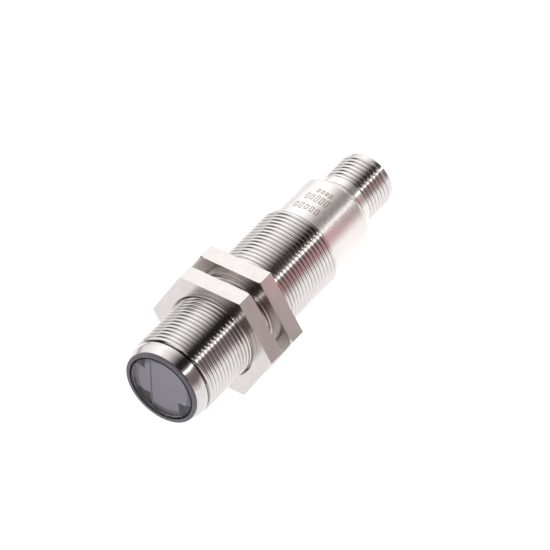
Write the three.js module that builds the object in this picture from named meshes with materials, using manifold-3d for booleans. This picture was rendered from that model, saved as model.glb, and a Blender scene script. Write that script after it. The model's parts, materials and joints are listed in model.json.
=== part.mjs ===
// Tubular M18 photoelectric sensor with an M12 plug connector and two mounting nuts.
// Millimetres, +Z up. The origin is the centre of the front cover's face, where the light leaves
// along -Y; +Y runs along the barrel's axis to the connector.
import * as THREE from "three";
import { mergeVertices } from "three/addons/utils/BufferGeometryUtils.js";
import Module from "manifold-3d";

const wasm = await Module();
wasm.setup();

// Driving dimensions.
// Barrel
const threadRadius = 8.95; // over the crests of the M18 x 1 thread
const threadLength = 42.8;
const frontRingLength = 3.2; // plain ring ahead of the thread
const frontRingRelief = 0.25; // how far the ring lies under the crests
const frontBevel = 1.45; // length of the ring's conical lead
const frontBevelDrop = 0.6; // how far the lead falls towards the cover
const threadRelief = 0.4; // width of the groove between ring and thread
const threadDepth = 0.6;
const shankRelief = 0.75; // how far the plain rear shank lies under the crests
const shankLength = 11.1;
const shankWall = 0.7;

// Connector, an M12 x 1 plug
const connectorRadius = 5.95;
const connectorThreadLength = 7.6;
const connectorWall = 1.55;
const connectorLead = 0.7; // chamfer on the open end
const neckLength = 1.8;
const neckRelief = 0.05;
const stemLength = 3.4; // part of the shell that the barrel's rear end holds
const stemStep = 0.5; // how far the stem lies under the neck
const stemFlange = 1.4; // thickness of the flange that stops the shell pulling out
const pinRadius = 0.5;
const pinCircle = 2.75; // radius of the circle that the four pins stand on
const pinSetback = 1.0; // how far the pins stay behind the shell's rim
const pinTail = 2.2; // pin length that shows behind the carrier for soldering
const pinTip = 0.4; // length of a pin's rounded end
const carrierDepth = 5.6;
const cavityFloor = 0.6; // from the neck's end to the insulator's face
const keyWidth = 0.8;
const keyHeight = 0.6;
const shellSealLength = 0.8;

// Nuts
const nutAcrossFlats = 24;
const nutThickness = 3.6;
const nutChamferShare = 0.56; // chamfer circle radius over the width across flats
const nutChamferAngle = Math.PI / 6;
const nutLead = 0.4; // countersink of the threaded hole
const nutGap = 3.2; // between the two clamping faces, as supplied
const frontNutFace = 16.85; // from the cover's face to the front nut

// Front optics
const coverFlange = 0.45; // cover rim that covers the barrel's end
const coverBevel = 1.15; // width of the rim's bevel
const coverBevelDepth = 0.3;
const coverThickness = 1.2;
const sealThickness = 0.6;
const foilThickness = 0.2;
const foilInset = 1.7; // from the lens plate's edge to the foil's
const postReach = 1.2; // how far the carrier's posts reach out past the foil's edge
const postRoot = 0.5; // how deep the posts run into the carrier
const lensThickness = 1.0;
const lensDome = 0.7;
const carrierLength = 5.2; // optics carrier
const carrierWall = 0.8;
const dividerWidth = 0.7;
const dividerOffset = -2.7; // the receiver has the larger side
const postClearance = 0.15; // round each of the carrier's three posts
const postCorners = [
  [-4.0, 2.8], // inner corner of each post's notch, as [x, z]; the notch runs outwards from it
  [-3.0, -3.2],
  [3.4, -2.6],
];
const bossRadius = 0.45;
const bossInset = 0.9; // from the first post's inner corner to the boss, along x and z
const opticBoardThickness = 0.8;

// Main circuit board
const boardThickness = 1.0;
const boardEdgeClearance = 1.2; // from the board's edges to the bore
const boardRearGap = 5.0; // room for the four leads between the board and the pins
const leadRadius = 0.45;
const leadPitch = 1.8; // along the board's rear edge
const spacerLength = 2.4;
const spacerWall = 1.9;
const spacerFromRear = 3.6; // from the board's rear edge to the spacer

// Indicator
const lightPipeRadius = 1.25;
const lightPipeHead = 0.25; // how far the light pipe stands below flush
const lightPipeInset = 1.0; // how far it reaches inside the bore
const indicatorFromRear = 1.0; // from the board's rear edge to the indicator

// Fits
const slideClearance = 0.08; // nut on thread, radial
const seatClearance = 0.1; // pieces that touch or are pressed in
const holeClearance = 0.12; // pins and pipes in their holes

const barrelSegments = 48;
const smallSegments = 24;

// Derived stations along Y.
const threadStart = frontRingLength + threadRelief;
const threadEnd = frontRingLength + threadLength;
const shankEnd = threadEnd + shankLength;
const shankRadius = threadRadius - shankRelief;
const boreRadius = shankRadius - shankWall;
const neckRadius = connectorRadius - neckRelief;
const chamferEnd = shankEnd + shankRadius - neckRadius; // a 45 degree cone
const neckEnd = chamferEnd + neckLength;
const connectorThreadEnd = neckEnd + connectorThreadLength;
const rearEnd = connectorThreadEnd + connectorLead;
const ringRadius = threadRadius - frontRingRelief;
const coverRadius = ringRadius - frontBevelDrop - seatClearance;

const cavityRadius = connectorRadius - connectorWall;
const stemRadius = neckRadius - stemStep;
const stemStart = chamferEnd - stemLength;
const carrierRadius = cavityRadius - seatClearance;
const carrierFace = neckEnd + cavityFloor; // the insulator's face in the plug's cavity
const carrierBack = carrierFace - carrierDepth;

const foilStart = coverThickness + seatClearance;
const lensStart = foilStart + foilThickness + seatClearance;
const carrierStart = lensStart + lensThickness + seatClearance;
const opticRadius = boreRadius - seatClearance; // lens, carrier and front board
const opticBoardStart = carrierStart + carrierLength + seatClearance;
const boardStart = opticBoardStart + opticBoardThickness + seatClearance;
const boardEnd = carrierBack - pinTail - boardRearGap;
const boardHalfWidth = boreRadius - boardEdgeClearance;

// Materials.
const finish = (color, roughness, metalness = 0, opacity = 1) =>
  new THREE.MeshStandardMaterial({
    color,
    roughness,
    metalness,
    opacity,
    transparent: opacity < 1,
  });
const nickel = finish(0xc9c5be, 0.22, 1);
const nutNickel = finish(0xb9b4ac, 0.35, 1);
const tintedAcrylic = finish(0x4c4c55, 0.08, 0, 0.6);
const clearAcrylic = finish(0xdfe3e8, 0.06, 0, 0.4);
const foil = finish(0x8a8b96, 0.2);
const rubber = finish(0x141414, 0.75);
const blackPlastic = finish(0x1b1b1d, 0.5);
const boardGreen = finish(0x1f5b34, 0.45);
const chipBlack = finish(0x202022, 0.4);
const ceramic = finish(0xb9a68a, 0.5);
const tantalum = finish(0xc98a2b, 0.45);
const tin = finish(0xd5d5d8, 0.3, 1);
const gold = finish(0xd7b25a, 0.25, 1);
const redPipe = finish(0xb32a22, 0.15, 0, 0.8);
const leadColours = [0x6a3c1e, 0xe8e6e0, 0x2348a8, 0x161616];

// Geometry helpers.
// Turns a profile of [radius, y] points round the Y axis. A profile that stays off the axis is
// closed on itself. The points run counter-clockwise with the radius to the right.
function turned(profile, segments = smallSegments) {
  const points = profile.map(([radius, y]) => new THREE.Vector2(radius, y));
  const touchesAxis = profile[0][0] === 0 && profile.at(-1)[0] === 0;
  if (!touchesAxis) points.push(points[0].clone());
  return new THREE.LatheGeometry(points, segments);
}

// A solid rod along Y between two stations.
const rod = (radius, from, to, segments = smallSegments) =>
  turned([[0, from], [radius, from], [radius, to], [0, to]], segments);

// A tube along Y between two stations.
const tube = (outer, inner, from, to, segments = smallSegments) =>
  turned([[inner, from], [outer, from], [outer, to], [inner, to]], segments);

// Profile points of a rod's rounded end, from its shoulder at y to the tip on the axis; the end
// points along side * Y.
function roundEnd(radius, length, y, side) {
  const steps = 3;
  const points = [];
  for (let i = 0; i < steps; i += 1) {
    const angle = (i / steps) * (Math.PI / 2);
    points.push([radius * Math.cos(angle), y + side * length * Math.sin(angle)]);
  }
  return [...points, [0, y + side * length]];
}

// A box from its lowest and highest corners.
function block(low, high) {
  const size = high.map((value, axis) => value - low[axis]);
  const middle = high.map((value, axis) => (value + low[axis]) / 2);
  return new THREE.BoxGeometry(...size).translate(...middle);
}

function solidOf(geometry) {
  const bare = geometry.clone();
  bare.deleteAttribute("normal");
  bare.deleteAttribute("uv");
  const merged = mergeVertices(bare, 1e-4);
  return new wasm.Manifold(
    new wasm.Mesh({
      numProp: 3,
      vertProperties: new Float32Array(merged.attributes.position.array),
      triVerts: new Uint32Array(merged.index.array),
    }),
  );
}

function geometryOf(solid) {
  const mesh = solid.getMesh();
  const geometry = new THREE.BufferGeometry();
  geometry.setAttribute("position", new THREE.BufferAttribute(mesh.vertProperties, 3));
  geometry.setIndex(new THREE.BufferAttribute(mesh.triVerts, 1));
  geometry.computeVertexNormals();
  return geometry;
}

const cut = (body, ...tools) =>
  geometryOf(tools.reduce((solid, tool) => solid.subtract(solidOf(tool)), solidOf(body)));
const join = (body, ...others) =>
  geometryOf(others.reduce((solid, other) => solid.add(solidOf(other)), solidOf(body)));
const common = (body, other) => geometryOf(solidOf(body).intersect(solidOf(other)));

const sensor = new THREE.Group();
function add(name, geometry, material, parent = sensor) {
  const mesh = new THREE.Mesh(geometry, material);
  mesh.name = name;
  parent.add(mesh);
  return mesh;
}

// Barrel.
const indicatorStation = boardEnd - indicatorFromRear;

// A rod along X on the -X side of the barrel, for the light pipe and its hole.
const sideRod = (radius, from, to, station) =>
  new THREE.CylinderGeometry(radius, radius, to - from, smallSegments)
    .rotateZ(Math.PI / 2)
    .translate(-(from + to) / 2, station, 0);

function barrelSleeve() {
  const rearHole = stemRadius + seatClearance;
  const innerShoulder = stemStart; // the stem's flange bears here
  const body = turned(
    [
      [boreRadius, coverFlange + seatClearance],
      [coverRadius + seatClearance, coverFlange + seatClearance],
      [ringRadius, coverFlange + seatClearance + frontBevel],
      [ringRadius, frontRingLength],
      [threadRadius - threadDepth, frontRingLength],
      [threadRadius - threadDepth, threadStart],
      [threadRadius, threadStart + threadDepth / 2],
      [threadRadius, threadEnd - threadDepth / 2],
      [shankRadius, threadEnd],
      [shankRadius, shankEnd],
      [neckRadius, chamferEnd],
      [rearHole, chamferEnd],
      [rearHole, innerShoulder],
      [boreRadius, innerShoulder],
    ],
    barrelSegments,
  );
  const pipeHole = sideRod(
    lightPipeRadius + holeClearance,
    boreRadius - lightPipeInset,
    shankRadius + lightPipeInset,
    indicatorStation,
  );
  return cut(body, pipeHole);
}
add("barrel_sleeve", barrelSleeve(), nickel);

// Front optics.
function frontCover() {
  const spigotRadius = boreRadius - sealThickness - seatClearance;
  return turned(
    [
      [0, 0],
      [coverRadius - coverBevel, 0],
      [coverRadius, coverBevelDepth],
      [coverRadius, coverFlange],
      [spigotRadius, coverFlange],
      [spigotRadius, coverThickness],
      [0, coverThickness],
    ],
    barrelSegments,
  );
}
add("front_cover", frontCover(), tintedAcrylic);

const sealStart = coverFlange + 2 * seatClearance;
const sealEnd = lensStart - 1.5 * seatClearance;
add(
  "cover_seal",
  tube(
    boreRadius - seatClearance,
    boreRadius - sealThickness,
    sealStart,
    sealEnd,
    barrelSegments,
  ),
  rubber,
);

// The part of a rod on one side of the divider; side is -1 for the emitter, 1 for the receiver.
function besideDivider(radius, from, to, side, margin) {
  const edge = dividerOffset + side * margin;
  const reach = 2 * radius;
  const low = side > 0 ? [edge, from - 1, -reach] : [-reach, from - 1, -reach];
  const high = side > 0 ? [reach, to + 1, reach] : [edge, to + 1, reach];
  return common(rod(radius, from, to, barrelSegments), block(low, high));
}

// A box over one of the posts' notches, from its inner corner outwards, shrunk by a margin.
function notch([x, z], from, to, margin) {
  const inner = [x + Math.sign(x) * margin, z + Math.sign(z) * margin];
  const outer = [Math.sign(x) * opticRadius, Math.sign(z) * opticRadius];
  const low = [Math.min(inner[0], outer[0]), from, Math.min(inner[1], outer[1])];
  const high = [Math.max(inner[0], outer[0]), to, Math.max(inner[1], outer[1])];
  return block(low, high);
}
const notches = (from, to) => postCorners.map((corner) => notch(corner, from, to, 0));

const foilRadius = opticRadius - foilInset;
const foilGap = dividerWidth / 4;
const foilEnd = foilStart + foilThickness;
for (const [name, side] of [["foil_emitter", -1], ["foil_receiver", 1]]) {
  const half = besideDivider(foilRadius, foilStart, foilEnd, side, foilGap);
  add(name, cut(half, ...notches(foilStart - 1, foilEnd + 1)), foil);
}

// One chamber of the carrier and the lens over it share a centre and a radius.
const chamberRadius = opticRadius - carrierWall;
const receiverCentre = (dividerOffset + chamberRadius) / 2;
const emitterCentre = (dividerOffset - chamberRadius) / 2;
const domeRadius = (side) =>
  (chamberRadius - side * dividerOffset) / 2 - dividerWidth;

// A shallow dome that stands on the back of the lens plate.
function dome(centre, radius, from) {
  const steps = 5;
  const sphere = (radius * radius + lensDome * lensDome) / (2 * lensDome);
  const halfAngle = Math.asin(radius / sphere);
  const profile = [[0, from - lensThickness / 2], [radius, from - lensThickness / 2]];
  for (let i = 0; i < steps; i += 1) {
    const angle = halfAngle * (1 - i / steps);
    profile.push([sphere * Math.sin(angle), from + lensDome - sphere * (1 - Math.cos(angle))]);
  }
  profile.push([0, from + lensDome]);
  return turned(profile).translate(centre, 0, 0);
}

function twinLens() {
  const back = lensStart + lensThickness;
  const whole = join(
    rod(opticRadius, lensStart, back, barrelSegments),
    dome(receiverCentre, domeRadius(1), back),
    dome(emitterCentre, domeRadius(-1), back),
  );
  return cut(whole, ...notches(lensStart - 1, back + lensDome + 1));
}
add("twin_lens", twinLens(), clearAcrylic);

function opticsCarrier() {
  const from = carrierStart;
  const to = carrierStart + carrierLength;
  const chambers = [-1, 1].map((side) =>
    besideDivider(chamberRadius, from - 1, to + 1, side, dividerWidth / 2),
  );
  const body = cut(rod(opticRadius, from, to, barrelSegments), ...chambers);
  const disc = rod(foilRadius + postReach, lensStart, from + postRoot, barrelSegments);
  const posts = postCorners.map((corner) =>
    common(disc, notch(corner, lensStart - 1, to, postClearance)),
  );
  const [bossX, bossZ] = postCorners[0].map((value) => value + Math.sign(value) * bossInset);
  const boss = rod(bossRadius, foilStart, lensStart + postRoot).translate(bossX, 0, bossZ);
  return join(body, ...posts, boss);
}
add("optics_carrier", opticsCarrier(), blackPlastic);

add(
  "optic_board",
  rod(opticRadius, opticBoardStart, opticBoardStart + opticBoardThickness, barrelSegments),
  boardGreen,
);

// A component that stands on the front of the optic board, with a small lens on it.
function opticDevice(centre, { width, height, lensRadius }) {
  const back = opticBoardStart - seatClearance;
  const body = block(
    [centre - width / 2, back - height, -width / 2],
    [centre + width / 2, back, width / 2],
  );
  const cap = turned([
    ...roundEnd(lensRadius, lensRadius / 2, back - height, -1).reverse(),
    [lensRadius, back - height / 2],
    [0, back - height / 2],
  ]).translate(centre, 0, 0);
  return join(body, cap);
}
const emitter = { width: 2.4, height: 1.0, lensRadius: 0.9 };
const photodiode = { width: 3.6, height: 1.1, lensRadius: 1.4 };
add("emitter_led", opticDevice(emitterCentre, emitter), redPipe);
add("receiver_photodiode", opticDevice(receiverCentre, photodiode), chipBlack);

// Circuit board.
add(
  "main_board",
  block(
    [-boardHalfWidth, boardStart, -boardThickness / 2],
    [boardHalfWidth, boardEnd, boardThickness / 2],
  ),
  boardGreen,
);

// The board's components. A size is [x, y, z]; left is the x of the component's left side, front
// or rear its distance from that end of the board, and face 1 for the upper side or -1 for the
// lower. A component with places is repeated, each place having its own left, front or rear.
const components = [
  { name: "sensor_asic", size: [5, 5, 1.1], face: 1, left: -2.5, front: 9.5, material: chipBlack },
  { name: "output_driver", size: [4, 5, 1.2], face: 1, left: -2, rear: 5, material: chipBlack },
  { name: "voltage_regulator", size: [3, 3, 1.1], face: -1, left: -1.5, front: 3, material: chipBlack },
  {
    name: "indicator_led",
    size: [1.6, 1.6, 0.8],
    face: -1,
    left: -boardHalfWidth,
    rear: 0.2,
    material: redPipe,
  },
  {
    name: "tantalum_capacitor",
    size: [2.8, 3.4, 1.9],
    face: -1,
    left: -1.4,
    material: tantalum,
    places: [{ front: 8 }, { rear: 9 }],
  },
  {
    name: "protection_diode",
    size: [1.4, 2.4, 1.0],
    face: 1,
    rear: 1.6,
    material: chipBlack,
    places: [{ left: -3.2 }, { left: -0.7 }, { left: 1.8 }],
  },
  {
    name: "ceramic_capacitor",
    size: [1.0, 1.8, 0.9],
    face: 1,
    material: ceramic,
    places: pairs(-4.3, 3.3, 9.6, 12.2),
  },
  {
    name: "chip_resistor",
    size: [1.2, 1.7, 0.5],
    face: -1,
    material: chipBlack,
    places: pairs(-3.8, 2.6, 3, 5.6),
  },
];

// Four places in two rows across the board, left and right of its middle.
function pairs(left, right, ...rows) {
  return rows.flatMap((front) => [{ left, front }, { left: right, front }]);
}

const boardFoot = boardThickness / 2 + seatClearance; // where a component stands, from z = 0
function component({ size, face, left, front, rear }) {
  const [width, length, height] = size;
  const y = rear === undefined ? boardStart + front : boardEnd - rear - length;
  const z = face > 0 ? boardFoot : -boardFoot - height;
  return block([left, y, z], [left + width, y + length, z + height]);
}

for (const { places, ...shared } of components) {
  if (!places) add(shared.name, component(shared), shared.material);
  for (const [i, place] of (places ?? []).entries())
    add(`${shared.name}_${i + 1}`, component({ ...shared, ...place }), shared.material);
}

// A metal can, open towards the board, over the receiver's amplifier.
const can = { halfWidth: 3.6, length: 7, height: 2.6, sheet: 0.3, fromFront: 1.2 };
function shieldCan({ halfWidth, length, height, sheet, fromFront }) {
  const from = boardStart + fromFront;
  const top = boardFoot + height;
  const outer = block([-halfWidth, from, boardFoot], [halfWidth, from + length, top]);
  const inner = block(
    [-halfWidth + sheet, from + sheet, boardFoot - sheet],
    [halfWidth - sheet, from + length - sheet, top - sheet],
  );
  return cut(outer, inner);
}
add("shield_can", shieldCan(can), tin);

// A plastic ring, grooved for the board's edges, centres the board in the bore.
function boardSpacer() {
  const to = boardEnd - spacerFromRear;
  const from = to - spacerLength;
  const ring = tube(
    boreRadius - seatClearance,
    boreRadius - spacerWall,
    from,
    to,
    barrelSegments,
  );
  const slot = block(
    [-boardHalfWidth - holeClearance, from - 1, -boardThickness / 2 - holeClearance],
    [boardHalfWidth + holeClearance, to + 1, boardThickness / 2 + holeClearance],
  );
  return cut(ring, slot);
}
add("board_spacer", boardSpacer(), blackPlastic);

// Indicator.
add(
  "indicator_light_pipe",
  sideRod(
    lightPipeRadius,
    boreRadius - lightPipeInset,
    shankRadius - lightPipeHead,
    indicatorStation,
  ),
  redPipe,
);

// Connector.
// An O-ring between the shell's flange and the barrel's rear shoulder keeps the joint tight.
const shellSealBack = stemStart - seatClearance;
const sealFront = shellSealBack - shellSealLength;
add(
  "shell_seal",
  tube(
    boreRadius - seatClearance,
    stemRadius + seatClearance,
    sealFront,
    shellSealBack,
    barrelSegments,
  ),
  rubber,
);

function connectorShell() {
  const flangeRadius = boreRadius - seatClearance;
  const flangeBack = sealFront - seatClearance;
  return turned(
    [
      [cavityRadius, flangeBack - stemFlange],
      [flangeRadius, flangeBack - stemFlange],
      [flangeRadius, flangeBack],
      [stemRadius, flangeBack],
      [stemRadius, chamferEnd + seatClearance],
      [neckRadius, chamferEnd + seatClearance],
      [neckRadius, neckEnd],
      [connectorRadius, neckEnd + neckRelief],
      [connectorRadius, connectorThreadEnd],
      [connectorRadius - connectorLead, rearEnd],
      [cavityRadius, rearEnd],
    ],
    barrelSegments,
  );
}
add("connector_shell", connectorShell(), nickel);

// The four pins stand on the X and Z axes; the coding key is between the first two.
const pinAngles = [0, 1, 2, 3].map((i) => (i * Math.PI) / 2);
const pinPlaces = pinAngles.map((angle) => [
  pinCircle * Math.cos(angle),
  pinCircle * Math.sin(angle),
]);

function contactCarrier() {
  const plug = rod(carrierRadius, carrierBack, carrierFace, barrelSegments);
  const keyFloor = carrierRadius - keyHeight;
  const key = block(
    [-keyWidth / 2, carrierFace - 1, keyFloor],
    [keyWidth / 2, rearEnd - pinSetback, carrierRadius - 2 * seatClearance],
  ).rotateY(Math.PI / 4);
  const holes = pinPlaces.map(([x, z]) =>
    rod(pinRadius + holeClearance, carrierBack - 1, carrierFace + 1).translate(x, 0, z),
  );
  return cut(join(plug, key), ...holes);
}
add("contact_carrier", contactCarrier(), blackPlastic);

const pinStart = carrierBack - pinTail;
const pinEnd = rearEnd - pinSetback;
for (const [i, [x, z]] of pinPlaces.entries()) {
  const pin = turned([
    [0, pinStart],
    [pinRadius, pinStart],
    ...roundEnd(pinRadius, pinTip, pinEnd - pinTip, 1),
  ]).translate(x, 0, z);
  add(`contact_pin_${i + 1}`, pin, gold);
}

// Insulated leads run from the board's rear edge to the pins.
function lead([x, z], i) {
  const start = new THREE.Vector3((i - 1.5) * leadPitch, boardEnd + seatClearance, 0);
  const end = new THREE.Vector3(x, pinStart - seatClearance, z);
  const straight = new THREE.Vector3(0, boardRearGap / 3, 0);
  const path = new THREE.CubicBezierCurve3(
    start,
    start.clone().add(straight),
    end.clone().sub(straight),
    end,
  );
  const section = new THREE.Shape().absarc(0, 0, leadRadius, 0, 2 * Math.PI);
  return new THREE.ExtrudeGeometry(section, {
    extrudePath: path,
    steps: 10,
    curveSegments: 10,
  });
}
const leadOrder = [3, 1, 0, 2]; // which place along the board's edge each pin's lead starts from
for (const [i, place] of pinPlaces.entries())
  add(`lead_wire_${i + 1}`, lead(place, leadOrder[i]), finish(leadColours[i], 0.5));

// Nuts.
// A hexagonal nut along Y with flats above and below; its chamfered side faces chamferSide (-1, 1).
function nut(from, chamferSide) {
  const corner = nutAcrossFlats / Math.sqrt(3);
  const outline = new THREE.Shape();
  for (let i = 0; i < 6; i += 1) {
    const angle = (i * Math.PI) / 3;
    const at = [corner * Math.cos(angle), corner * Math.sin(angle)];
    if (i === 0) outline.moveTo(...at);
    else outline.lineTo(...at);
  }
  outline.closePath();
  const prism = new THREE.ExtrudeGeometry(outline, { depth: nutThickness, bevelEnabled: false })
    .rotateX(Math.PI / 2)
    .translate(0, nutThickness, 0);
  const hole = threadRadius + slideClearance;
  const circle = nutAcrossFlats * nutChamferShare;
  const beyond = corner + 1;
  const drop = (beyond - circle) * Math.tan(nutChamferAngle);
  const blank = turned(
    [
      [hole, nutLead],
      [hole + nutLead, 0],
      [beyond, 0],
      [beyond, nutThickness - drop],
      [circle, nutThickness],
      [hole + nutLead, nutThickness],
      [hole, nutThickness - nutLead],
    ],
    barrelSegments,
  );
  let body = solidOf(common(prism, blank));
  if (chamferSide < 0) body = body.mirror([0, 1, 0]).translate([0, nutThickness, 0]);
  return geometryOf(body.translate([0, from, 0]));
}
add("front_nut", nut(frontNutFace, 1), nutNickel);
add("rear_nut", nut(frontNutFace + nutThickness + nutGap, -1), nutNickel);

export default sensor;
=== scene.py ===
import json
import math
import bmesh
import bpy
from mathutils import Matrix, Vector


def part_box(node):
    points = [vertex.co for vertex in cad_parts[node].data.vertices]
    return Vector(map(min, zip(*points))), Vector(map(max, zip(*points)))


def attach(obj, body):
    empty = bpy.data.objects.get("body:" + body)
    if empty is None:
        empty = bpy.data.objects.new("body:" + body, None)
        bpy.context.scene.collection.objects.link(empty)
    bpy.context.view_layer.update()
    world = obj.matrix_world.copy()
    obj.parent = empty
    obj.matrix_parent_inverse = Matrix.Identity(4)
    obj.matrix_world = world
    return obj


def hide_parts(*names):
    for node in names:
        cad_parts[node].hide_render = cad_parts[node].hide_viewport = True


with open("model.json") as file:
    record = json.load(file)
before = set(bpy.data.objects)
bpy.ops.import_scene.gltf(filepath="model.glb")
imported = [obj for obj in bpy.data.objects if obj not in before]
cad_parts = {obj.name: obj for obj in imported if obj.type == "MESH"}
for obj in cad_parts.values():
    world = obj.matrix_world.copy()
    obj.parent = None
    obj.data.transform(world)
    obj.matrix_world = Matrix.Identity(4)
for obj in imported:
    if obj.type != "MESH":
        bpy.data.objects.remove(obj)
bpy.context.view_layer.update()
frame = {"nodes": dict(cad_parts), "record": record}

mm = 0.001  # the sizes below are in millimetres, the scene is in metres

# The barrel's axis is Y, with the optic face at y = 0 and the plug at the rear. +Z is up.
nodeBox = {name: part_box(name) for name in frame["nodes"]}


def lowOf(node, axis):
    return nodeBox[node][0][axis] / mm


def highOf(node, axis):
    return nodeBox[node][1][axis] / mm


# the camera stands above and to the right of the optic face
camera = {
    "azimuth": 34.89,  # degrees, round to the right of the optic face
    "elevation": 45.35,
    "roundBarrel": 2.49,  # then the whole camera swings this far round the barrel's axis
    "distance": 1892.8,
    "sideways": 21.60,  # how far the aim lies right of the optic face's centre
    "upwards": 21.48,
    "focalLength": 655.9,
    "sensorWidth": 36.0,
    "clip": (0.1, 20),  # metres
}


def placeCamera(c):
    a = math.radians(c["azimuth"])
    e = math.radians(c["elevation"])
    right = Vector((math.cos(a), math.sin(a), 0))
    back = Vector((math.sin(a) * math.cos(e), -math.cos(a) * math.cos(e), math.sin(e)))
    up = back.cross(right)
    swing = Matrix.Rotation(math.radians(c["roundBarrel"]), 3, "Y")
    right, up, back = swing @ right, swing @ up, swing @ back
    data = bpy.data.cameras.new("camera")
    data.lens = c["focalLength"]
    data.sensor_width = c["sensorWidth"]
    data.clip_start, data.clip_end = c["clip"]
    data.dof.use_dof = False
    cam = bpy.data.objects.new("camera", data)
    bpy.context.scene.collection.objects.link(cam)
    place = (right * c["sideways"] + up * c["upwards"] + back * c["distance"]) * mm
    cam.matrix_world = Matrix.Translation(place) @ Matrix((right, up, back)).transposed().to_4x4()
    bpy.context.scene.camera = cam


placeCamera(camera)
print("camera placed")


def turnPoint(radius, y, angle):
    # angle runs from +Z towards +X, sizes in millimetres
    return Vector((radius * math.sin(angle) * mm, y * mm, radius * math.cos(angle) * mm))


def softProfile(corners, steps=4):
    # corners are (radius, y) or (radius, y, rounding): rounded corners become short arcs
    points = []
    count = len(corners)
    for i, corner in enumerate(corners):
        here = Vector(corner[:2])
        rounding = corner[2] if len(corner) > 2 else 0
        if not rounding:
            points.append(tuple(here))
            continue
        before = (Vector(corners[i - 1][:2]) - here).normalized()
        after = (Vector(corners[(i + 1) % count][:2]) - here).normalized()
        half = before.angle(after) / 2
        reach = rounding / math.tan(half)
        centre = here + (before + after).normalized() * rounding / math.sin(half)
        first = here + before * reach - centre
        last = here + after * reach - centre
        for step in range(steps + 1):
            t = step / steps
            side = first.lerp(last, t).normalized() * rounding
            points.append(tuple(centre + side))
    return points


def threadRows(thread, segments):
    # rows of (radius, y) by angle for a helical thread, cut square at both ends with a chamfer
    form = thread["form"]
    start, end, pitch = thread["start"], thread["end"], thread["pitch"]
    crest, root = thread["crest"], thread["root"]
    perTurn = len(form)
    turns = math.ceil((end - start) / pitch)
    rowCount = perTurn * (turns + 1)

    def heightAt(phase):
        points = form + [(1 + form[0][0], form[0][1])]
        phase = (phase - form[0][0]) % 1 + form[0][0]
        for (a, heightA), (b, heightB) in zip(points, points[1:]):
            if phase <= b:
                return heightA + (heightB - heightA) * (phase - a) / (b - a)
        return points[-1][1]

    rows = []
    for m in range(rowCount + 1):
        turn, part = divmod(m, perTurn)
        row = []
        for j in range(segments):
            y = start + (turn + form[part][0] + j / segments - 1) * pitch
            y = min(max(y, start), end)
            phase = (y - start) / pitch - j / segments
            radius = root + (crest - root) * heightAt(phase)
            lead = thread["endRadius"] + min(y - start, end - y) / thread["endSlope"]
            row.append((min(radius, lead), y))
        rows.append(row)
    return rows, perTurn


def turnedMesh(sections, segments):
    # sections are profiles of (radius, y) or a thread's dictionary; the last joins the first
    vertices, rowStarts, helical = [], [], {}
    for section in sections:
        if isinstance(section, dict):
            rows, perTurn = threadRows(section, segments)
            first = len(rowStarts)
            for row in rows:
                rowStarts.append(len(vertices))
                for j, (radius, y) in enumerate(row):
                    vertices.append(turnPoint(radius, y, 2 * math.pi * j / segments))
            for m in range(len(rows) - 1):
                helical[first + m] = (
                    first + min(m + perTurn, len(rows) - 1),
                    first + min(m + 1 + perTurn, len(rows) - 1),
                )
        else:
            for radius, y in section:
                rowStarts.append(len(vertices))
                for j in range(segments):
                    vertices.append(turnPoint(radius, y, 2 * math.pi * j / segments))
    faces = []
    count = len(rowStarts)
    for k in range(count):
        after = (k + 1) % count
        for j in range(segments):
            rightA, rightB = rowStarts[k], rowStarts[after]
            if j == segments - 1 and k in helical:
                rightA, rightB = (rowStarts[row] for row in helical[k])
            j2 = (j + 1) % segments
            faces.append((rowStarts[k] + j, rightA + j2, rightB + j2, rowStarts[after] + j))
    return vertices, faces


weldDistance = 1e-7  # metres
seam = 0.02  # millimetres from a thread's end to the plain part behind it


def makePiece(name, vertices, faces, material, body, replaced, sharpAngle=32):
    mesh = bpy.data.meshes.new(name)
    mesh.from_pydata(vertices, [], faces)
    work = bmesh.new()
    work.from_mesh(mesh)
    bmesh.ops.remove_doubles(work, verts=work.verts, dist=weldDistance)
    bmesh.ops.dissolve_degenerate(work, edges=work.edges, dist=weldDistance)
    bmesh.ops.recalc_face_normals(work, faces=work.faces)
    loose = sum(1 for edge in work.edges if not edge.is_manifold)
    work.to_mesh(mesh)
    work.free()
    piece = bpy.data.objects.new(name, mesh)
    bpy.context.scene.collection.objects.link(piece)
    mesh.materials.append(material)
    smoothPiece(piece, sharpAngle)
    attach(piece, body)
    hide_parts(*replaced)
    print(f"made {name}: {len(mesh.polygons)} faces, {loose} open edges")
    return piece


def smoothPiece(piece, sharpAngle):
    mesh = piece.data
    mesh.polygons.foreach_set("use_smooth", [True] * len(mesh.polygons))
    mesh.set_sharp_from_angle(angle=math.radians(sharpAngle))
    mesh.update()


def paintAlong(piece, stretches):
    # gives each face the material of the stretch it lies in; stretches are (end along Y, material)
    mesh = piece.data
    mesh.materials.clear()
    for end, material in stretches:
        mesh.materials.append(material)
    for face in mesh.polygons:
        ends = [end for end, material in stretches if face.center.y >= end * mm]
        face.material_index = min(len(ends), len(stretches) - 1)


def shaderOf(material):
    return material.node_tree.nodes["Principled BSDF"]


def startMaterial(name, baseColor, roughness, metallic=0.0, **sockets):
    material = bpy.data.materials.new(name)
    material.use_nodes = True
    shader = shaderOf(material)
    shader.inputs["Base Color"].default_value = (*baseColor, 1)
    shader.inputs["Roughness"].default_value = roughness
    shader.inputs["Metallic"].default_value = metallic
    for socket, value in sockets.items():
        shader.inputs[socket.replace("_", " ")].default_value = value
    return material, shader


def addNode(material, kind, **settings):
    node = material.node_tree.nodes.new("ShaderNode" + kind)
    for key, value in settings.items():
        setattr(node, key, value)
    return node


def join(material, outSocket, inSocket):
    material.node_tree.links.new(outSocket, inSocket)


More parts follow.
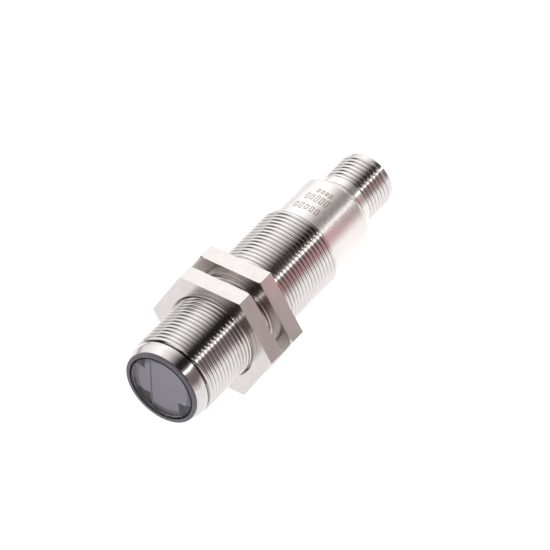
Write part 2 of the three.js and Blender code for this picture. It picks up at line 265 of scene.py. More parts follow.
def calculate(material, operation, first, second=None, third=None):
    # a Math node whose inputs are sockets or numbers
    node = addNode(material, "Math", operation=operation)
    for socket, value in zip(node.inputs, (first, second, third)):
        if value is None:
            continue
        if isinstance(value, (int, float)):
            socket.default_value = value
        else:
            join(material, value, socket)
    return node.outputs[0]


def objectPlace(material):
    return addNode(material, "TexCoord").outputs["Object"]


def grain(material, perMillimetre, detail=3.0, roughness=0.55):
    # noise from 0 to 1 whose features are 1 / perMillimetre across on X, Y and Z
    mapping = addNode(material, "Mapping")
    mapping.inputs["Scale"].default_value = [n / mm for n in perMillimetre]
    join(material, objectPlace(material), mapping.inputs["Vector"])
    noise = addNode(material, "TexNoise")
    noise.inputs["Scale"].default_value = 1
    noise.inputs["Detail"].default_value = detail
    noise.inputs["Roughness"].default_value = roughness
    join(material, mapping.outputs[0], noise.inputs["Vector"])
    return noise.outputs["Fac"]


def spread(material, value, low, high, fromLow=0.3, fromHigh=0.7):
    node = addNode(material, "MapRange")
    join(material, value, node.inputs[0])
    for i, number in enumerate((fromLow, fromHigh, low, high)):
        node.inputs[i + 1].default_value = number
    return node.outputs[0]


def blendColors(material, factor, first, second):
    node = addNode(material, "Mix", data_type="RGBA")
    join(material, factor, node.inputs[0])
    for socket, color in ((node.inputs[6], first), (node.inputs[7], second)):
        if isinstance(color, tuple):
            socket.default_value = (*color, 1)
        else:
            join(material, color, socket)
    return node.outputs[2]


def addBump(material, height, depth):
    # stacks on any bump that the finish already has; depth in millimetres
    shader = shaderOf(material)
    bump = addNode(material, "Bump")
    bump.inputs["Strength"].default_value = 1
    bump.inputs["Distance"].default_value = depth * mm
    join(material, height, bump.inputs["Height"])
    normal = shader.inputs["Normal"]
    if normal.links:
        join(material, normal.links[0].from_socket, bump.inputs["Normal"])
    join(material, bump.outputs[0], normal)


# bright nickel plate on turned brass, on the barrel and the plug shell
nickel = {
    "color": (0.735, 0.710, 0.700),
    "dullColor": (0.66, 0.63, 0.62),
    "turningLines": (0.15, 9.0, 0.15),  # per millimetre: they run round the barrel
    "smudges": (0.22, 0.12, 0.22),
}
satinColors = ((0.87, 0.85, 0.84), (0.84, 0.82, 0.81))
# painted shade: these near-black colours of the groove behind the front ring stand in for the shade in
# that groove
grooveShadeColors = ((0.13, 0.115, 0.11), (0.10, 0.09, 0.085))

# the two outside threads, and the painted shade in their roots
barrelThread = {"crest": highOf("barrel_sleeve", 0), "root": 8.5, "rootShadeColor": (0.34, 0.31, 0.30)}
plugThread = {"crest": 5.95, "root": 5.5, "rootShadeColor": (0.36, 0.33, 0.32)}
rootShadeDepth = 0.6  # how far up from the root the painted shade fades out, as a share of the thread's depth


def turnedNickel(name, roughness, roughnessShift, lineDepth, metallic=1.0, colors=None):
    brightColor, dullColor = colors or (nickel["color"], nickel["dullColor"])
    material, shader = startMaterial(name, brightColor, roughness, metallic)
    lines = grain(material, nickel["turningLines"], 2)
    smudges = grain(material, nickel["smudges"], 4)
    color = blendColors(material, spread(material, smudges, 0, 1), brightColor, dullColor)
    join(material, color, shader.inputs["Base Color"])
    mixed = calculate(material, "MULTIPLY_ADD", lines, 0.5, calculate(material, "MULTIPLY", smudges, 0.5))
    rough = spread(material, mixed, roughness - roughnessShift, roughness + roughnessShift)
    join(material, rough, shader.inputs["Roughness"])
    addBump(material, lines, lineDepth)
    return material


def objectAxes(material):
    axes = addNode(material, "SeparateXYZ")
    join(material, objectPlace(material), axes.inputs[0])
    return axes.outputs


def shadeThreadRoots(material, thread):
    # painted shade: the colour darkens towards the bottom of a thread, where shade falls
    x, y, z = objectAxes(material)
    root = thread["root"]
    square = calculate(material, "MULTIPLY_ADD", x, x, calculate(material, "MULTIPLY", z, z))
    radius = calculate(material, "SQRT", square)
    top = root + rootShadeDepth * (thread["crest"] - root)
    share = spread(material, radius, 0, 1, root * mm, top * mm)
    baseColor = shaderOf(material).inputs["Base Color"]
    base = baseColor.links[0].from_socket
    join(material, blendColors(material, share, thread["rootShadeColor"], base), baseColor)


def rowOfMarks(material, axes, marks, row):
    # plain outlined marks side by side round the shank, each a little taller or shorter
    x, y, z = axes
    angle = calculate(material, "ARCTAN2", x, z)
    across = calculate(material, "MULTIPLY", angle, marks["radius"])
    first, last = (math.radians(row[key]) * marks["radius"] for key in ("from", "to"))
    cell = calculate(material, "DIVIDE", calculate(material, "SUBTRACT", across, first), row["pitch"])
    offset = calculate(material, "SUBTRACT", calculate(material, "FRACT", cell), 0.5)
    sideways = calculate(material, "MULTIPLY", calculate(material, "ABSOLUTE", offset), row["pitch"])
    sideways = calculate(material, "SUBTRACT", sideways, row["width"] / 2)
    chance = addNode(material, "TexWhiteNoise", noise_dimensions="1D")
    key = calculate(material, "ADD", calculate(material, "FLOOR", cell), row["y"])
    join(material, key, chance.inputs["W"])
    halfHeight = spread(material, chance.outputs["Value"], *marks["halfHeights"], 0, 1)
    halfHeight = calculate(material, "MULTIPLY", halfHeight, row["height"])
    along = calculate(material, "SUBTRACT", calculate(material, "DIVIDE", y, mm), row["y"])
    lengthways = calculate(material, "SUBTRACT", calculate(material, "ABSOLUTE", along), halfHeight)
    edge = calculate(material, "ABSOLUTE", calculate(material, "MAXIMUM", sideways, lengthways))
    stroke = calculate(material, "LESS_THAN", edge, marks["stroke"] / 2)
    fromMiddle = calculate(material, "SUBTRACT", across, (first + last) / 2)
    fromMiddle = calculate(material, "ABSOLUTE", fromMiddle)
    inside = calculate(material, "LESS_THAN", fromMiddle, (last - first) / 2)
    return calculate(material, "MULTIPLY", stroke, inside)


def engravedMarks(material, marks):
    # laser marks on the rear shank: browned strokes, slightly sunk and dull
    axes = objectAxes(material)
    masks = [rowOfMarks(material, axes, marks, row) for row in marks["rows"]]
    mask = masks[0]
    for other in masks[1:]:
        mask = calculate(material, "MAXIMUM", mask, other)
    baseColor, roughness = (shaderOf(material).inputs[name] for name in ("Base Color", "Roughness"))
    base = baseColor.links[0].from_socket
    join(material, blendColors(material, mask, base, marks["color"]), baseColor)
    rough = roughness.links[0].from_socket
    join(material, calculate(material, "MULTIPLY_ADD", mask, marks["extraRoughness"], rough), roughness)
    addBump(material, calculate(material, "SUBTRACT", 1.0, mask), marks["depth"])


nutSurface = {
    "color": (0.70, 0.665, 0.65),
    "dullColor": (0.64, 0.605, 0.59),
    "roughness": 0.14,
    "roughnessSpread": (-0.04, 0.06),
    "wornRoughness": 0.05,
    "pits": (7, 7, 7),  # per millimetre, as the next two
    "clouds": (0.3, 0.3, 0.3),
    "scratches": (0.5, 5.0, 0.9),
    "pitDepth": 0.0012,
    "scratchDepth": 0.0015,
}


def nutNickel(s):
    # satin plate over a cold-formed nut: fine pits, a few handling marks
    material, shader = startMaterial("nutFinish", s["color"], s["roughness"], 1.0)
    fine = grain(material, s["pits"], 4, 0.65)
    cloud = grain(material, s["clouds"], 3)
    scratches = grain(material, s["scratches"], 2, 0.7)
    color = blendColors(material, spread(material, cloud, 0, 1), s["color"], s["dullColor"])
    join(material, color, shader.inputs["Base Color"])
    rough = spread(material, fine, *(s["roughness"] + shift for shift in s["roughnessSpread"]))
    worn = calculate(material, "MULTIPLY_ADD", cloud, s["wornRoughness"], rough)
    join(material, worn, shader.inputs["Roughness"])
    addBump(material, fine, s["pitDepth"])
    addBump(material, scratches, s["scratchDepth"])
    return material


# name, roughness, its drift, depth of the turning lines, then metallic and colours where they differ
threadNickel = turnedNickel("threadNickel", 0.10, 0.03, 0.0012)
# painted shade in the roots of the barrel's thread
shadeThreadRoots(threadNickel, barrelThread)
ringNickel = turnedNickel("ringNickel", 0.12, 0.03, 0.0008)
# painted shade for the groove behind the front ring
grooveShadeNickel = turnedNickel("grooveShadeNickel", 0.22, 0.04, 0.0008, colors=grooveShadeColors)
plugNickel = turnedNickel("plugNickel", 0.13, 0.04, 0.0012)
# painted shade in the roots of the plug's thread
shadeThreadRoots(plugNickel, plugThread)
shankNickel = turnedNickel("shankNickel", 0.27, 0.02, 0.00012, 0.74, satinColors)
neckNickel = turnedNickel("neckNickel", 0.19, 0.02, 0.0002, 0.76, satinColors)
nutFinish = nutNickel(nutSurface)

shankRadius = 8.2  # the plain rear part of the barrel
shankMarks = {
    "radius": shankRadius,
    "stroke": 0.16,
    "depth": 0.01,
    "color": (0.33, 0.25, 0.19),
    "extraRoughness": 0.2,
    "halfHeights": (0.33, 0.5),  # shortest and tallest, as a share of the row's height
    "rows": [  # from and to are degrees round the barrel
        {"y": 49.0, "height": 1.7, "pitch": 1.2, "width": 0.58, "from": -22, "to": 21},
        {"y": 51.9, "height": 1.7, "pitch": 1.1, "width": 0.54, "from": -17, "to": 22},
        {"y": 54.0, "height": 1.0, "pitch": 0.92, "width": 0.40, "from": -8, "to": 17},
    ],
}
engravedMarks(shankNickel, shankMarks)


grainRoughness = (0.06, 0.08)  # how much smoother and rougher the grain makes a finish
cloudGrains = 9  # the colour drifts over this many grains


def grainyFinish(name, color, otherColor, roughness, size, depth, metallic=0.0, **sockets):
    # one colour drifting into another, with a fine pebbled surface; size in grains per millimetre
    material, shader = startMaterial(name, color, roughness, metallic, **sockets)
    fine = grain(material, (size, size, size), 4, 0.6)
    clouds = size / cloudGrains
    cloud = grain(material, (clouds, clouds, clouds), 2)
    mixed = blendColors(material, spread(material, cloud, 0, 1), color, otherColor)
    join(material, mixed, shader.inputs["Base Color"])
    rougher = spread(material, fine, roughness - grainRoughness[0], roughness + grainRoughness[1])
    join(material, rougher, shader.inputs["Roughness"])
    addBump(material, fine, depth)
    return material


coverTint = {
    "colors": ((0.74, 0.73, 0.78), (0.72, 0.71, 0.76)),
    "roughness": 0.03,
    "hazeRoughness": (0.015, 0.05),
    "haze": (1.2, 1.2, 1.2),  # per millimetre
    "depth": 0.0008,
    "refraction": 1.32,
}


def tintedAcrylic(t):
    material, shader = startMaterial(
        "tintedAcrylic", t["colors"][0], t["roughness"], Transmission_Weight=1.0, IOR=t["refraction"])
    haze = grain(material, t["haze"], 3)
    join(material, spread(material, haze, *t["hazeRoughness"]), shader.inputs["Roughness"])
    tint = blendColors(material, spread(material, haze, 0, 1), *t["colors"])
    join(material, tint, shader.inputs["Base Color"])
    addBump(material, haze, t["depth"])
    return material


lensPlastic = {
    "colors": ((0.80, 0.81, 0.86), (0.72, 0.73, 0.79)),
    "roughness": 0.2,
    "flowRoughness": (0.16, 0.3),
    "flow": (0.5, 0.5, 0.5),  # per millimetre
    "depth": 0.002,
    "clearness": 0.35,
    "refraction": 1.49,
}


def clearAcrylic(p):
    material, shader = startMaterial(
        "clearAcrylic", p["colors"][0], p["roughness"], Transmission_Weight=p["clearness"],
        IOR=p["refraction"])
    flow = grain(material, p["flow"], 3)
    join(material, spread(material, flow, *p["flowRoughness"]), shader.inputs["Roughness"])
    tint = blendColors(material, spread(material, flow, 0, 1), *p["colors"])
    join(material, tint, shader.inputs["Base Color"])
    addBump(material, flow, p["depth"])
    return material


foil = {
    "colors": ((0.69, 0.67, 0.73), (0.65, 0.63, 0.69)),
    "roughness": 0.3,
    "drawnRoughness": (0.24, 0.36),
    "drawn": (0.4, 3.0, 14.0),  # per millimetre: the film is drawn out in one direction
    "depth": 0.001,
}


def polarisingFoil(f):
    material, shader = startMaterial("polarisingFoil", f["colors"][0], f["roughness"])
    stretched = grain(material, f["drawn"], 3)
    color = blendColors(material, spread(material, stretched, 0, 1), *f["colors"])
    join(material, color, shader.inputs["Base Color"])
    join(material, spread(material, stretched, *f["drawnRoughness"]), shader.inputs["Roughness"])
    addBump(material, stretched, f["depth"])
    return material


board = {
    "color": (0.02, 0.16, 0.07),
    "weaveColors": ((0.015, 0.13, 0.055), (0.02, 0.17, 0.075)),
    "trackColor": (0.06, 0.28, 0.12),
    "roughness": 0.35,
    "weaveRoughness": (0.28, 0.4),
    "weave": (2.2, 2.2, 2.2),  # per millimetre
    "coat": 0.3,
    "coatRoughness": 0.2,
    "padLevels": (0.0, 0.1),
    "trackSpacing": (1.7, 0.8),
    "trackWidth": 0.12,
    "trackDepth": 0.02,
}


def greenBoard(b):
    # solder resist over a woven glass core, with copper tracks standing a little proud
    material, shader = startMaterial(
        "greenBoard", b["color"], b["roughness"], Coat_Weight=b["coat"], Coat_Roughness=b["coatRoughness"])
    tracks = addNode(
        material, "TexBrick", offset=0.37, offset_frequency=3, squash=0.6, squash_frequency=2)
    for name, level in zip(("Color1", "Color2", "Mortar"), (*b["padLevels"], 1)):
        tracks.inputs[name].default_value = (level, level, level, 1)
    tracks.inputs["Scale"].default_value = 1 / mm
    tracks.inputs["Mortar Size"].default_value = b["trackWidth"]
    for name, spacing in zip(("Brick Width", "Row Height"), b["trackSpacing"]):
        tracks.inputs[name].default_value = spacing
    join(material, objectPlace(material), tracks.inputs["Vector"])
    weave = grain(material, b["weave"], 2)
    dark = blendColors(material, spread(material, weave, 0, 1), *b["weaveColors"])
    withTracks = blendColors(material, tracks.outputs["Color"], dark, b["trackColor"])
    join(material, withTracks, shader.inputs["Base Color"])
    join(material, spread(material, weave, *b["weaveRoughness"]), shader.inputs["Roughness"])
    addBump(material, tracks.outputs["Color"], b["trackDepth"])
    return material


# name, colour, the colour it drifts into, roughness, grains per millimetre, depth, metallic
finishes = {
    "tinted_cover": tintedAcrylic(coverTint),
    "clear_lens": clearAcrylic(lensPlastic),
    "grey_foil": polarisingFoil(foil),
    "green_board": greenBoard(board),
    "black_rubber": grainyFinish(
        "sealRubber", (0.016, 0.016, 0.017), (0.026, 0.026, 0.027), 0.62, 6, 0.006),
    "black_plastic": grainyFinish(
        "mouldedPolyamide", (0.012, 0.012, 0.014), (0.02, 0.02, 0.022), 0.42, 9, 0.006,
        Specular_IOR_Level=0.2),
    "chip_black": grainyFinish(
        "chipEpoxy", (0.02, 0.02, 0.021), (0.03, 0.03, 0.031), 0.45, 14, 0.004),
    "ceramic_tan": grainyFinish(
        "ceramicBody", (0.47, 0.36, 0.25), (0.42, 0.31, 0.21), 0.4, 16, 0.003),
    "tantalum_orange": grainyFinish(
        "tantalumEpoxy", (0.58, 0.28, 0.04), (0.5, 0.23, 0.03), 0.42, 12, 0.004),
    "tinned_steel": grainyFinish(
        "tinnedSheet", (0.72, 0.72, 0.73), (0.62, 0.62, 0.64), 0.3, 5, 0.003, 1.0),
    "gold_plate": grainyFinish(
        "goldFlash", (0.86, 0.62, 0.24), (0.78, 0.54, 0.2), 0.22, 8, 0.002, 1.0),
    "red_epoxy": grainyFinish(
        "redEpoxy", (0.6, 0.03, 0.02), (0.5, 0.02, 0.015), 0.15, 4, 0.002,
        Transmission_Weight=0.5, IOR=1.5),
    "lead_brown": grainyFinish(
        "brownSheath", (0.09, 0.035, 0.015), (0.07, 0.028, 0.012), 0.5, 8, 0.004),
    "lead_white": grainyFinish(
        "whiteSheath", (0.75, 0.74, 0.7), (0.68, 0.67, 0.63), 0.5, 8, 0.004),
    "lead_blue": grainyFinish(
        "blueSheath", (0.02, 0.07, 0.36), (0.015, 0.055, 0.3), 0.5, 8, 0.004),
    "lead_black": grainyFinish(
        "blackSheath", (0.015, 0.015, 0.016), (0.022, 0.022, 0.023), 0.5, 8, 0.004),
    "nut_nickel": nutFinish,
    "barrel_nickel": threadNickel,
}
coverEdge = grainyFinish(
    "coverEdge", (0.008, 0.008, 0.01), (0.014, 0.014, 0.016), 0.5, 12, 0.003, Specular_IOR_Level=0.05)
coverRim = grainyFinish(
    "coverRim", (0.19, 0.18, 0.205), (0.155, 0.145, 0.17), 0.3, 12, 0.003, Specular_IOR_Level=0.2)
print("finishes made")

# every carried-over CAD node gets its slot's finish; the outer metal and the cover are rebuilt below
for part in frame["record"]["subparts"]:
    node = frame["nodes"][part["node"]]
    node.data.materials.clear()
    node.data.materials.append(finishes[part["material_slot"]])
print("CAD nodes finished")


barrel = {
    "segments": 144,
    "crest": barrelThread["crest"],
    "front": lowOf("barrel_sleeve", 1),
    "back": highOf("barrel_sleeve", 1),
    "bore": 7.5,
    "coverSeat": 8.1,
    "ringRadius": 8.7,
    "bevelEnd": 2.0,
    "ringEnd": 3.2,
    "grooveRadius": 8.1,
    "threadStart": 3.6,
    "threadEnd": 46.0,
    "root": barrelThread["root"],
    "pitch": 1.0,
    "threadEndRadius": 8.42,
    "threadEndSlope": 0.8,
    "shank": shankRadius,
    "shankEnd": 57.1,
    "coneRadius": 5.9,
    "rearHole": 5.5,
    "shoulder": 56.0,
    "pipeHole": 1.37,
    "drillLength": 4,
    "drillSegments": 48,
    "sharpAngle": 40,
}

# one pitch of a fine 60 degree thread with plated, slightly rounded crests:
# (share of the pitch, share of the depth)
threadForm = [
    (0.0, 0.0), (0.05, 0.0), (0.27, 0.9), (0.32, 0.985),
    (0.38, 1.0), (0.67, 1.0), (0.73, 0.985), (0.78, 0.9),
]


def cutPipeHole(piece, b):
    # the indicator's light pipe comes out through the shank
    box = nodeBox["indicator_light_pipe"]
    centre = (box[0] + box[1]) / 2
    tool = bpy.data.meshes.new("holeTool")
    work = bmesh.new()
    turn = Matrix.Translation((centre.x, centre.y, centre.z)) @ Matrix.Rotation(math.pi / 2, 4, "Y")
    bmesh.ops.create_cone(work, cap_ends=True, segments=b["drillSegments"], radius1=b["pipeHole"] * mm,
                          radius2=b["pipeHole"] * mm, depth=b["drillLength"] * mm, matrix=turn)
    work.to_mesh(tool)
    work.free()
    cutter = bpy.data.objects.new("holeTool", tool)
    bpy.context.scene.collection.objects.link(cutter)
    drill = piece.modifiers.new("lightPipeHole", "BOOLEAN")
    drill.operation = "DIFFERENCE"
    drill.solver = "EXACT"
    drill.object = cutter
    graph = bpy.context.evaluated_depsgraph_get()
    drilled = bpy.data.meshes.new_from_object(piece.evaluated_get(graph))
    piece.modifiers.clear()
    old = piece.data
    piece.data = drilled
    drilled.name = "barrel"
    bpy.data.meshes.remove(old)
    bpy.data.objects.remove(cutter)
    bpy.data.meshes.remove(tool)


def makeBarrel(b):
    front = softProfile([
        (b["bore"], b["front"], 0.1),
        (b["coverSeat"], b["front"], 0.12),
        (b["ringRadius"], b["bevelEnd"], 1.6),
        (b["ringRadius"], b["ringEnd"], 0.08),
        (b["grooveRadius"], b["ringEnd"]),
        (b["grooveRadius"], b["threadStart"]),
    ], 6)
    thread = {
        "form": threadForm, "start": b["threadStart"], "end": b["threadEnd"], "pitch": b["pitch"],
        "crest": b["crest"], "root": b["root"], "endRadius": b["threadEndRadius"],
        "endSlope": b["threadEndSlope"],
    }
    rear = softProfile([
        (b["shank"], b["threadEnd"] + seam),
        (b["shank"], b["shankEnd"], 1.0),
        (b["coneRadius"], b["back"], 0.08),
        (b["rearHole"], b["back"], 0.08),
        (b["rearHole"], b["shoulder"]),
        (b["bore"], b["shoulder"]),
        (b["bore"], b["shoulder"] - 1),
    ], 5)
    vertices, faces = turnedMesh([front, thread, rear], b["segments"])
    piece = makePiece("barrel", vertices, faces, threadNickel, "sensor",
                      ["barrel_sleeve"], b["sharpAngle"])
    cutPipeHole(piece, b)
    # the faces from the ring's end to just past the thread's start get the painted groove shade
    paintAlong(piece, [
        (b["ringEnd"] - 0.02, ringNickel), (b["threadStart"] + 0.1, grooveShadeNickel),
        (b["threadEnd"], threadNickel), (b["back"] + 1, shankNickel),
    ])
    smoothPiece(piece, b["sharpAngle"])


makeBarrel(barrel)


plug = {
    "segments": 96,
    "cavity": 4.4,
    "front": lowOf("connector_shell", 1),
    "flange": highOf("connector_shell", 0),
    "flangeEnd": 55.0,
    "stem": 5.4,
    "neckStart": 59.5,
    "neck": 5.9,
    "threadStart": 61.2,
    "crest": plugThread["crest"],
    "root": plugThread["root"],
    "pitch": 1.0,
    "threadEnd": 68.2,
    "threadEndSlope": 0.9,
    "lipRadius": 5.6,
    "lipChamfer": 0.35,
    "mouthChamfer": (0.2, 0.3),  # across and along
    "back": highOf("connector_shell", 1),
    "sharpAngle": 40,
}


def makePlug(p):
    stem = softProfile([
        (p["cavity"], p["front"]),
        (p["flange"], p["front"], 0.1),
        (p["flange"], p["flangeEnd"], 0.1),
        (p["stem"], p["flangeEnd"]),
        (p["stem"], p["neckStart"]),
        (p["neck"], p["neckStart"], 0.06),
        (p["neck"], p["threadStart"]),
    ])
    thread = {
        "form": threadForm, "start": p["threadStart"], "end": p["threadEnd"], "pitch": p["pitch"],
        "crest": p["crest"], "root": p["root"], "endRadius": p["lipRadius"],
        "endSlope": p["threadEndSlope"],
    }
    across, along = p["mouthChamfer"]
    lip = softProfile([
        (p["lipRadius"], p["threadEnd"] + seam),
        (p["lipRadius"], p["back"] - p["lipChamfer"], 0.3),
        (p["lipRadius"] - p["lipChamfer"], p["back"], 0.12),
        (p["cavity"] + across, p["back"], 0.1),
        (p["cavity"], p["back"] - along),
    ])
    vertices, faces = turnedMesh([stem, thread, lip], p["segments"])
    piece = makePiece("plugShell", vertices, faces, plugNickel, "sensor",
                      ["connector_shell"], p["sharpAngle"])
    paintAlong(piece, [
        (p["threadStart"], neckNickel), (p["threadEnd"], plugNickel), (p["back"] + 1, ringNickel),
    ])


makePlug(plug)


nut = {
    "acrossFlats": highOf("front_nut", 2) - lowOf("front_nut", 2),
    "thickness": highOf("front_nut", 1) - lowOf("front_nut", 1),
    "hole": barrel["crest"] + 0.08,  # a little clearance over the thread
    "lead": 0.4,
    "chamferRadius": 13.44,
    "chamferAngle": 30,
    "segments": 144,
    "sharpAngle": 20,
    "edgeBevel": 0.09,
    "bevelAngle": 22,  # edges sharper than this are softened
}


def makeNut(name, node, body, chamferSide, n):
    base = lowOf(node, 1) if chamferSide > 0 else highOf(node, 1)
    apothem = n["acrossFlats"] / 2
    sixth = math.pi / 3
    slope = math.tan(math.radians(n["chamferAngle"]))
    deep = n["thickness"]

    def outer(angle):
        return apothem / math.cos((angle + sixth / 2) % sixth - sixth / 2)

    def ring(radiusAt, depthAt):
        points = []
        for j in range(n["segments"]):
            angle = 2 * math.pi * j / n["segments"]
            radius = radiusAt(angle)
            points.append(turnPoint(radius, base + chamferSide * depthAt(radius), angle))
        return points

    def chamferDepth(radius):
        return deep - max(0, radius - n["chamferRadius"]) * slope

    rings = [
        ring(lambda a: n["hole"], lambda r: n["lead"]),
        ring(lambda a: n["hole"] + n["lead"], lambda r: 0),
        ring(outer, lambda r: 0),
        ring(outer, chamferDepth),
        ring(lambda a: min(outer(a), n["chamferRadius"]), lambda r: deep),
        ring(lambda a: n["hole"] + n["lead"], lambda r: deep),
        ring(lambda a: n["hole"], lambda r: deep - n["lead"]),
    ]
    count = n["segments"]
    vertices = [point for points in rings for point in points]
    faces = []
    for k in range(len(rings)):
        a, b = k * count, (k + 1) % len(rings) * count
        for j in range(count):
            j2 = (j + 1) % count
            faces.append((a + j, a + j2, b + j2, b + j))
    piece = makePiece(name, vertices, faces, nutFinish, body, [node], n["sharpAngle"])
    bevel = piece.modifiers.new("softEdges", "BEVEL")
    bevel.width = n["edgeBevel"] * mm
    bevel.segments = 2
    bevel.limit_method = "ANGLE"
    bevel.angle_limit = math.radians(n["bevelAngle"])
    bevel.harden_normals = True


makeNut("frontNut", "front_nut", "nut_front", 1, nut)
makeNut("rearNut", "rear_nut", "nut_rear", -1, nut)


cover = {
    "segments": 128,
    "radius": highOf("front_cover", 0) + 0.06,
    "centre": 0.0005,  # the profile starts and ends this close to the axis
    "line": (6.9, 7.25),  # inside and outside of the black line round the window
    "bevelDepth": 0.06,
    "flange": 0.45,
    "spigot": 6.8,
    "back": highOf("front_cover", 1),
    "edge": 0.06,  # the side wall reaches in this far
    "sharpAngle": 30,
}


def makeCover(c):
    profile = softProfile([
        (c["centre"], c["back"]),
        (c["centre"], 0),
        (c["line"][0], 0),
        (c["line"][1], 0),
        (c["radius"], c["bevelDepth"], 0.08),
        (c["radius"], c["flange"]),
        (c["spigot"], c["flange"]),
        (c["spigot"], c["back"], 0.05),
    ])
    vertices, faces = turnedMesh([profile], c["segments"])
    piece = makePiece("opticCover", vertices, faces, finishes["tinted_cover"], "sensor",
                      ["front_cover"], c["sharpAngle"])
    piece.data.materials.append(coverEdge)
    piece.data.materials.append(coverRim)
    lineStart, lineEnd = c["line"]
    for face in piece.data.polygons:
        reach = math.hypot(face.center.x, face.center.z)
        inFront = face.center.y < c["flange"] * mm - weldDistance
        if inFront and reach > lineEnd * mm:
            face.material_index = 2
        elif inFront and reach > lineStart * mm or reach > (c["radius"] - c["edge"]) * mm:
            face.material_index = 1


makeCover(cover)


studio = {
    "floorDrop": 120.0,  # from the axis down to the floor
    "floorSize": 1300.0,
    "floorColor": (1.0, 0.995, 0.99),
    "floorPaint": (0.1, 0.1, 0.1),
    "floorRoughness": 0.9,
    "floorGlow": 1.04,
    "backdrop": (1.0, 1.0, 1.0),
    # light by direction round the barrel's axis: degrees from straight up towards +X, brightness,
    # and how rosy it is from 0 to 1
    "bands": [
        (-180, 1.05, 0), (-104, 0.95, 0), (-98, 0.55, 0), (-91, 0.60, 0), (-84, 1.0, 0), (-72, 1.12, 0),
        (-60, 1.22, 0), (-48, 1.34, 0), (-36, 1.45, 0), (-28, 1.38, 0), (-20, 1.12, 0), (-12, 1.03, 0.1),
        (0, 0.58, 0.2), (12, 0.18, 0.5), (20, 0.02, 1), (30, 0.015, 1), (38, 0.06, 1), (44.5, 0.5, 0.5),
        (45.5, 3.4, 0), (49, 3.4, 0), (50.5, 0.5, 0.5), (56, 0.26, 1), (70, 0.20, 1), (81, 0.24, 1),
        (88, 0.56, 0.9), (96, 0.80, 0.4), (106, 0.95, 0.1), (140, 1.0, 0), (180, 1.05, 0),
    ],
    "rosy": (1.0, 0.83, 0.83),
    "rampTop": 4.0,
    # how much of that light is left by direction along the barrel, -1 being straight to the front
    "alongBarrel": [
        (-1.0, 0.22), (-0.975, 0.35), (-0.94, 0.85), (-0.80, 0.75), (-0.75, 0.3), (-0.71, 0.03),
        (-0.60, 0.03), (-0.57, 1.0), (1.0, 1.0),
    ],
}


def fillRamp(ramp, stops):
    # stops are (place from 0 to 1, colour)
    elements = ramp.color_ramp.elements
    while len(elements) > 1:
        elements.remove(elements[0])
    for i, (place, color) in enumerate(stops):
        element = elements[0] if i == 0 else elements.new(place)
        element.position = place
        element.color = (*color, 1)


def makeWorld(s):
    world = bpy.data.worlds.new("studio")
    world.use_nodes = True
    bpy.context.scene.world = world
    tree = world.node_tree
    tree.nodes.clear()

    def put(kind, **settings):
        node = tree.nodes.new("ShaderNode" + kind)
        for key, value in settings.items():
            setattr(node, key, value)
        return node

    direction = put("TexCoord")
    axes = put("SeparateXYZ")
    angle = put("Math", operation="ARCTAN2")
    share = put("Math", operation="MULTIPLY_ADD")
    share.inputs[1].default_value = 1 / (2 * math.pi)
    share.inputs[2].default_value = 0.5
    roundBarrel = put("ValToRGB")
    fillRamp(roundBarrel, [
        (degrees / 360 + 0.5, [brightness / s["rampTop"] * (1 + rosy * (c - 1)) for c in s["rosy"]])
        for degrees, brightness, rosy in s["bands"]
    ])
    lengthways = put("Math", operation="MULTIPLY_ADD")
    lengthways.inputs[1].default_value = 0.5
    lengthways.inputs[2].default_value = 0.5
    along = put("ValToRGB")
    fillRamp(along, [((y + 1) / 2, (left, left, left)) for y, left in s["alongBarrel"]])
    strength = put("Math", operation="MULTIPLY")
    strength.inputs[1].default_value = s["rampTop"]
    bands = put("Background")
    plain = put("Background")
    plain.inputs["Color"].default_value = (*s["backdrop"], 1)
    seen = put("LightPath")
    either = put("MixShader")
    output = put("OutputWorld")
    link = tree.links.new
    link(direction.outputs["Generated"], axes.inputs[0])
    link(axes.outputs[0], angle.inputs[0])
    link(axes.outputs[2], angle.inputs[1])
    link(angle.outputs[0], share.inputs[0])
    link(share.outputs[0], roundBarrel.inputs[0])
    link(roundBarrel.outputs[0], bands.inputs["Color"])
    link(axes.outputs[1], lengthways.inputs[0])
    link(lengthways.outputs[0], along.inputs[0])
    link(along.outputs[0], strength.inputs[0])
    link(strength.outputs[0], bands.inputs["Strength"])
    link(seen.outputs["Is Camera Ray"], either.inputs[0])
    link(bands.outputs[0], either.inputs[1])
    link(plain.outputs[0], either.inputs[2])
    link(either.outputs[0], output.inputs[0])


def makeFloor(s):
    half = s["floorSize"] / 2 * mm
    level = -s["floorDrop"] * mm
    mesh = bpy.data.meshes.new("floor")
    corners = [(-half, -half, level), (half, -half, level), (half, half, level), (-half, half, level)]
    mesh.from_pydata(corners, [], [(0, 1, 2, 3)])
    floor = bpy.data.objects.new("floor", mesh)
    bpy.context.scene.collection.objects.link(floor)
    paper = bpy.data.materials.new("floorPaper")
    paper.use_nodes = True
    shader = shaderOf(paper)
    shader.inputs["Base Color"].default_value = (*s["floorPaint"], 1)
    shader.inputs["Roughness"].default_value = s["floorRoughness"]
    shader.inputs["Emission Color"].default_value = (*s["floorColor"], 1)
    shader.inputs["Emission Strength"].default_value = s["floorGlow"]
    mesh.materials.append(paper)


makeWorld(studio)
makeFloor(studio)

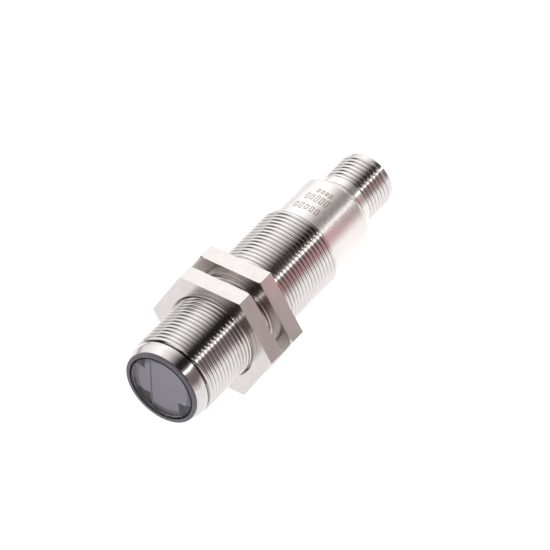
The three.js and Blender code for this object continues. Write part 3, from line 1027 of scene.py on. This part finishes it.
# a thin gauze hangs round the rear half: it lifts the dark reflections there, and a red patch on it
# tints one side of the rear thread
gauze = {
    "radius": 60.0,
    "start": 56.0,
    "end": 150.0,
    "segments": 72,
    "glow": [(60, 0.0), (74, 0.09), (88, 0.16), (104, 0.12), (116, 0.05), (150, 0.05)],  # by place along Y
    "paleColor": (1.0, 0.86, 0.84),
    "redPlace": (57.1, 75.5, 23.8),
    "redRadius": 22,
    "redStrength": 0.66,
    "redColor": (1.0, 0.12, 0.14),
}


def makeGauze(g):
    segments = g["segments"]
    rows = [[turnPoint(g["radius"], y, 2 * math.pi * j / segments) for j in range(segments)]
            for y in (g["start"], g["end"])]
    faces = [(j, (j + 1) % segments, segments + (j + 1) % segments, segments + j) for j in range(segments)]
    mesh = bpy.data.meshes.new("gauze")
    mesh.from_pydata(rows[0] + rows[1], [], faces)
    scrim = bpy.data.objects.new("gauze", mesh)
    bpy.context.scene.collection.objects.link(scrim)
    scrim.visible_camera = False
    scrim.visible_diffuse = False
    scrim.visible_shadow = False
    cloth = bpy.data.materials.new("gauze")
    cloth.use_nodes = True
    cloth.node_tree.nodes.clear()
    axes = addNode(cloth, "SeparateXYZ")
    join(cloth, objectPlace(cloth), axes.inputs[0])
    low, high = g["start"], g["end"]
    along = addNode(cloth, "ValToRGB")
    join(cloth, spread(cloth, axes.outputs[1], 0, 1, low * mm, high * mm), along.inputs[0])
    fillRamp(along, [
        ((y - low) / (high - low), [level * part for part in g["paleColor"]]) for y, level in g["glow"]
    ])
    toRed = addNode(cloth, "VectorMath", operation="DISTANCE")
    join(cloth, objectPlace(cloth), toRed.inputs[0])
    toRed.inputs[1].default_value = [n * mm for n in g["redPlace"]]
    red = spread(cloth, toRed.outputs["Value"], g["redStrength"], 0, 0, g["redRadius"] * mm)
    redGlow = addNode(cloth, "Emission")
    redGlow.inputs["Color"].default_value = (*g["redColor"], 1)
    join(cloth, red, redGlow.inputs["Strength"])
    paleGlow = addNode(cloth, "Emission")
    join(cloth, along.outputs[0], paleGlow.inputs["Color"])
    surface = addNode(cloth, "BsdfTransparent").outputs[0]
    for light in (redGlow, paleGlow):
        both = addNode(cloth, "AddShader")
        join(cloth, surface, both.inputs[0])
        join(cloth, light.outputs[0], both.inputs[1])
        surface = both.outputs[0]
    join(cloth, surface, addNode(cloth, "OutputMaterial").inputs["Surface"])
    mesh.materials.append(cloth)


makeGauze(gauze)
bpy.context.scene.view_settings.view_transform = "Standard"
print("studio ready")
